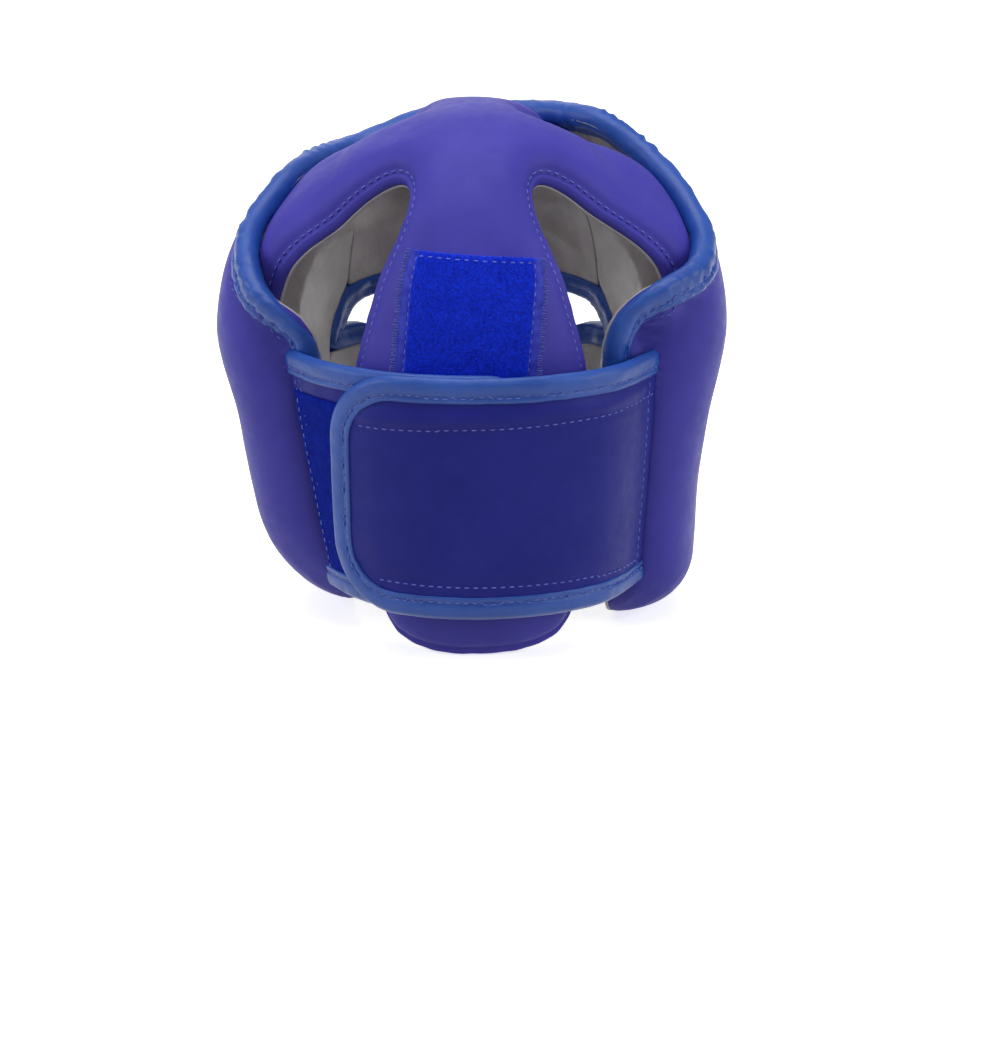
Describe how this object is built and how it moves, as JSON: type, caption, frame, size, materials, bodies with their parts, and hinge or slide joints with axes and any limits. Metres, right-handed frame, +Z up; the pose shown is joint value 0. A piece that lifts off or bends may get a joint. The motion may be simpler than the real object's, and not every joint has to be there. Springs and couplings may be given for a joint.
{
  "type": "boxing headgear",
  "caption": "Padded boxing headgear with crown, nape and cheek pads, vents, ear openings, a wide overlapping hook-and-loop rear closure and a chin strap.",
  "frame": {"origin": "centre of the headgear's box at the level of the side pads' lower edge, on which it stands", "axes": "+Z up through the crown; the face looks along -Y and the rear closure faces +Y; the wearer's left is +X"},
  "size_m": [0.2385, 0.2307, 0.2495],
  "materials": {
    "cover": "matte soft-touch synthetic leather",
    "binding": "satin folded binding",
    "lining": "smooth satin lining",
    "foam": "closed-cell foam",
    "core": "thin stiffener sheet",
    "strap_backing": "matte",
    "loop_tape": "napped loop pile",
    "hook_tape": "moulded hooks",
    "webbing": "woven"
  },
  "bodies": {
    "root": {"forehead_cover": "cover", "forehead_foam": "foam", "forehead_lining": "lining", "rear_tab_left": "cover", "rear_tab_right": "cover", "side_left_cover": "cover", "side_left_foam": "foam", "side_left_lining": "lining", "side_right_cover": "cover", "side_right_foam": "foam", "side_right_lining": "lining", "cheek_left_cover": "cover", "cheek_left_foam": "foam", "cheek_left_lining": "lining", "cheek_right_cover": "cover", "cheek_right_foam": "foam", "cheek_right_lining": "lining", "crown_cover": "cover", "crown_foam": "foam", "crown_lining": "lining", "upper_binding": "binding", "face_binding": "binding", "lower_binding_left": "binding", "lower_binding_right": "binding", "ear_ring_left": "binding", "ear_ring_right": "binding", "chin_loop_patch": "loop_tape", "chin_anchor": "webbing"},
    "nape_pad": {"nape_cover": "cover", "nape_foam": "foam", "nape_lining": "lining", "nape_loop_patch": "loop_tape"},
    "over_strap": {"over_strap_cover": "cover", "over_strap_core": "core", "over_strap_lining": "strap_backing", "over_strap_hook": "hook_tape", "over_strap_binding": "binding"},
    "under_strap": {"under_strap_cover": "cover", "under_strap_core": "core", "under_strap_lining": "strap_backing", "under_strap_loop": "loop_tape", "under_strap_hook": "hook_tape", "under_strap_binding": "binding"},
    "chin_strap": {"chin_web": "webbing", "chin_web_hook": "hook_tape", "chin_cup_cover": "cover", "chin_cup_foam": "foam", "chin_cup_lining": "lining"}
  },
  "joints": [
    {"name": "over_strap_peel", "type": "hinge", "parent": "root", "child": "over_strap", "pos_m": [-0.0859, 0.0523, 0.0832], "axis": [-0.0587, 0.0713, 0.9957], "range_deg": [0, 100]},
    {"name": "under_strap_lift", "type": "hinge", "parent": "root", "child": "under_strap", "pos_m": [0.0786, 0.0561, 0.0832], "axis": [0.1673, 0.0006, 0.9859], "range_deg": [-38, 0]},
    {"name": "nape_pad_flex", "type": "hinge", "parent": "root", "child": "nape_pad", "pos_m": [0, 0.0573, 0.2195], "axis": [-1, 0, 0], "range_deg": [0, 12]},
    {"name": "chin_strap_swing", "type": "hinge", "parent": "root", "child": "chin_strap", "pos_m": [-0.0895, -0.0578, 0.03], "axis": [0.0929, 0.05, -0.9944], "range_deg": [0, 110]}
  ],
  "couplings": [
    {"joint": "under_strap_lift", "follows": "over_strap_peel", "ratio": -0.36}
  ]
}
